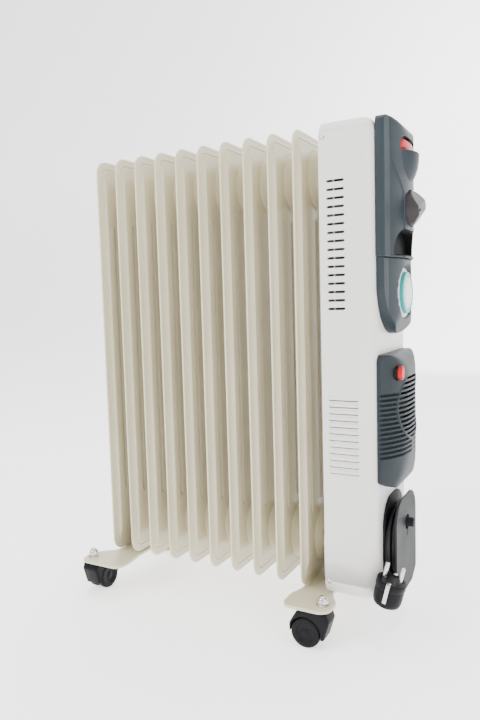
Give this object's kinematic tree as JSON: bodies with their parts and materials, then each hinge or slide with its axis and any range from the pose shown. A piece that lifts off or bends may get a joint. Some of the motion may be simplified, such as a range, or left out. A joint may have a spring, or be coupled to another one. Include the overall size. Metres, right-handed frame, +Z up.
{
  "type": "oil filled radiator heater",
  "caption": "Wheeled oil filled radiator heater with a control housing, thermostat knob, timer dial, fan grille, cord winder and plug.",
  "frame": {"origin": "centre of the object's footprint, on the floor", "axes": "+X along the row of sections towards the control housing, -Y towards the long side seen in the picture, +Z up"},
  "size_m": [0.4777, 0.234, 0.6364],
  "materials": {
    "section_paint": "satin beige enamel",
    "housing_paint": "satin warm white enamel",
    "bright_steel": "bright plated",
    "grey_plastic": "fine matte grain",
    "winder_plastic": "fine matte grain",
    "red_plastic": "glossy red",
    "knob_plastic": "satin",
    "dial_plastic": "satin",
    "tappet_plastic": "satin",
    "white_plastic": "satin",
    "black_rubber": "smooth cord sheath",
    "black_plastic": "satin black"
  },
  "bodies": {
    "heater": {"section_01": "section_paint", "section_02": "section_paint", "section_03": "section_paint", "section_04": "section_paint", "section_05": "section_paint", "section_06": "section_paint", "section_07": "section_paint", "section_08": "section_paint", "section_09": "section_paint", "section_10": "section_paint", "section_11": "section_paint", "hub_necks": "section_paint", "hub_plugs": "bright_steel", "foot_plate_left": "section_paint", "foot_plate_right": "section_paint", "foot_u_bolts": "bright_steel", "foot_wing_nuts": "bright_steel", "caster_studs": "bright_steel", "caster_dome_nuts": "bright_steel", "housing": "housing_paint", "heat_shield": "bright_steel", "housing_screws": "bright_steel", "fascia": "grey_plastic", "pilot_lens": "red_plastic", "thermostat": "bright_steel", "hand_recess_cup": "black_plastic", "timer_cover": "grey_plastic", "timer_mechanism": "white_plastic", "fan_cover": "grey_plastic", "fan_switch": "black_plastic", "fan_frame": "black_plastic", "fan_motor": "bright_steel", "ptc_heater": "black_plastic", "heating_elements": "bright_steel", "element_flange": "bright_steel", "thermal_cutout": "bright_steel", "tip_over_switch": "black_plastic", "terminal_block": "black_plastic", "winder_base": "winder_plastic", "winder_flange": "winder_plastic", "cord_gland": "black_rubber", "cord_winding": "black_rubber", "cord_tail": "black_rubber", "plug_body": "black_plastic", "plug_pins": "bright_steel", "plug_earth_clips": "bright_steel"},
    "caster_fl": {"caster_hood_fl": "black_plastic"},
    "wheels_fl": {"caster_wheels_fl": "black_plastic"},
    "caster_fr": {"caster_hood_fr": "black_plastic"},
    "wheels_fr": {"caster_wheels_fr": "black_plastic"},
    "caster_rl": {"caster_hood_rl": "black_plastic"},
    "wheels_rl": {"caster_wheels_rl": "black_plastic"},
    "caster_rr": {"caster_hood_rr": "black_plastic"},
    "wheels_rr": {"caster_wheels_rr": "black_plastic"},
    "knob": {"thermostat_knob": "knob_plastic", "thermostat_spindle": "bright_steel"},
    "dial": {"timer_dial": "dial_plastic", "timer_tappets": "tappet_plastic"},
    "button": {"fan_button": "red_plastic"},
    "impeller": {"fan_impeller": "black_plastic"}
  },
  "joints": [
    {"name": "swivel_fl", "type": "hinge", "parent": "heater", "child": "caster_fl", "pos_m": [-0.226, -0.0985, 0.045], "axis": [0, 0, 1], "continuous": true},
    {"name": "roll_fl", "type": "hinge", "parent": "caster_fl", "child": "wheels_fl", "pos_m": [-0.226, -0.0795, 0.019], "axis": [1, 0, 0], "continuous": true},
    {"name": "swivel_fr", "type": "hinge", "parent": "heater", "child": "caster_fr", "pos_m": [0.138, -0.0985, 0.045], "axis": [0, 0, 1], "continuous": true},
    {"name": "roll_fr", "type": "hinge", "parent": "caster_fr", "child": "wheels_fr", "pos_m": [0.119, -0.0985, 0.019], "axis": [0, 1, 0], "continuous": true},
    {"name": "swivel_rl", "type": "hinge", "parent": "heater", "child": "caster_rl", "pos_m": [-0.226, 0.0985, 0.045], "axis": [0, 0, 1], "continuous": true},
    {"name": "roll_rl", "type": "hinge", "parent": "caster_rl", "child": "wheels_rl", "pos_m": [-0.226, 0.0795, 0.019], "axis": [1, 0, 0], "continuous": true},
    {"name": "swivel_rr", "type": "hinge", "parent": "heater", "child": "caster_rr", "pos_m": [0.138, 0.0985, 0.045], "axis": [0, 0, 1], "continuous": true},
    {"name": "roll_rr", "type": "hinge", "parent": "caster_rr", "child": "wheels_rr", "pos_m": [0.119, 0.0985, 0.019], "axis": [0, 1, 0], "continuous": true},
    {"name": "knob_turn", "type": "hinge", "parent": "heater", "child": "knob", "pos_m": [0.22, 0, 0.534], "axis": [1, 0, 0], "range_deg": [-40, 230]},
    {"name": "dial_turn", "type": "hinge", "parent": "heater", "child": "dial", "pos_m": [0.215, 0, 0.4315], "axis": [1, 0, 0], "continuous": true},
    {"name": "button_press", "type": "slide", "parent": "heater", "child": "button", "axis": [-1, 0, 0], "range_m": [0, 0.003], "stiffness_N_per_m": 400, "springref_m": -0.002},
    {"name": "impeller_spin", "type": "hinge", "parent": "heater", "child": "impeller", "pos_m": [0.2, 0, 0.292], "axis": [1, 0, 0], "continuous": true}
  ]
}
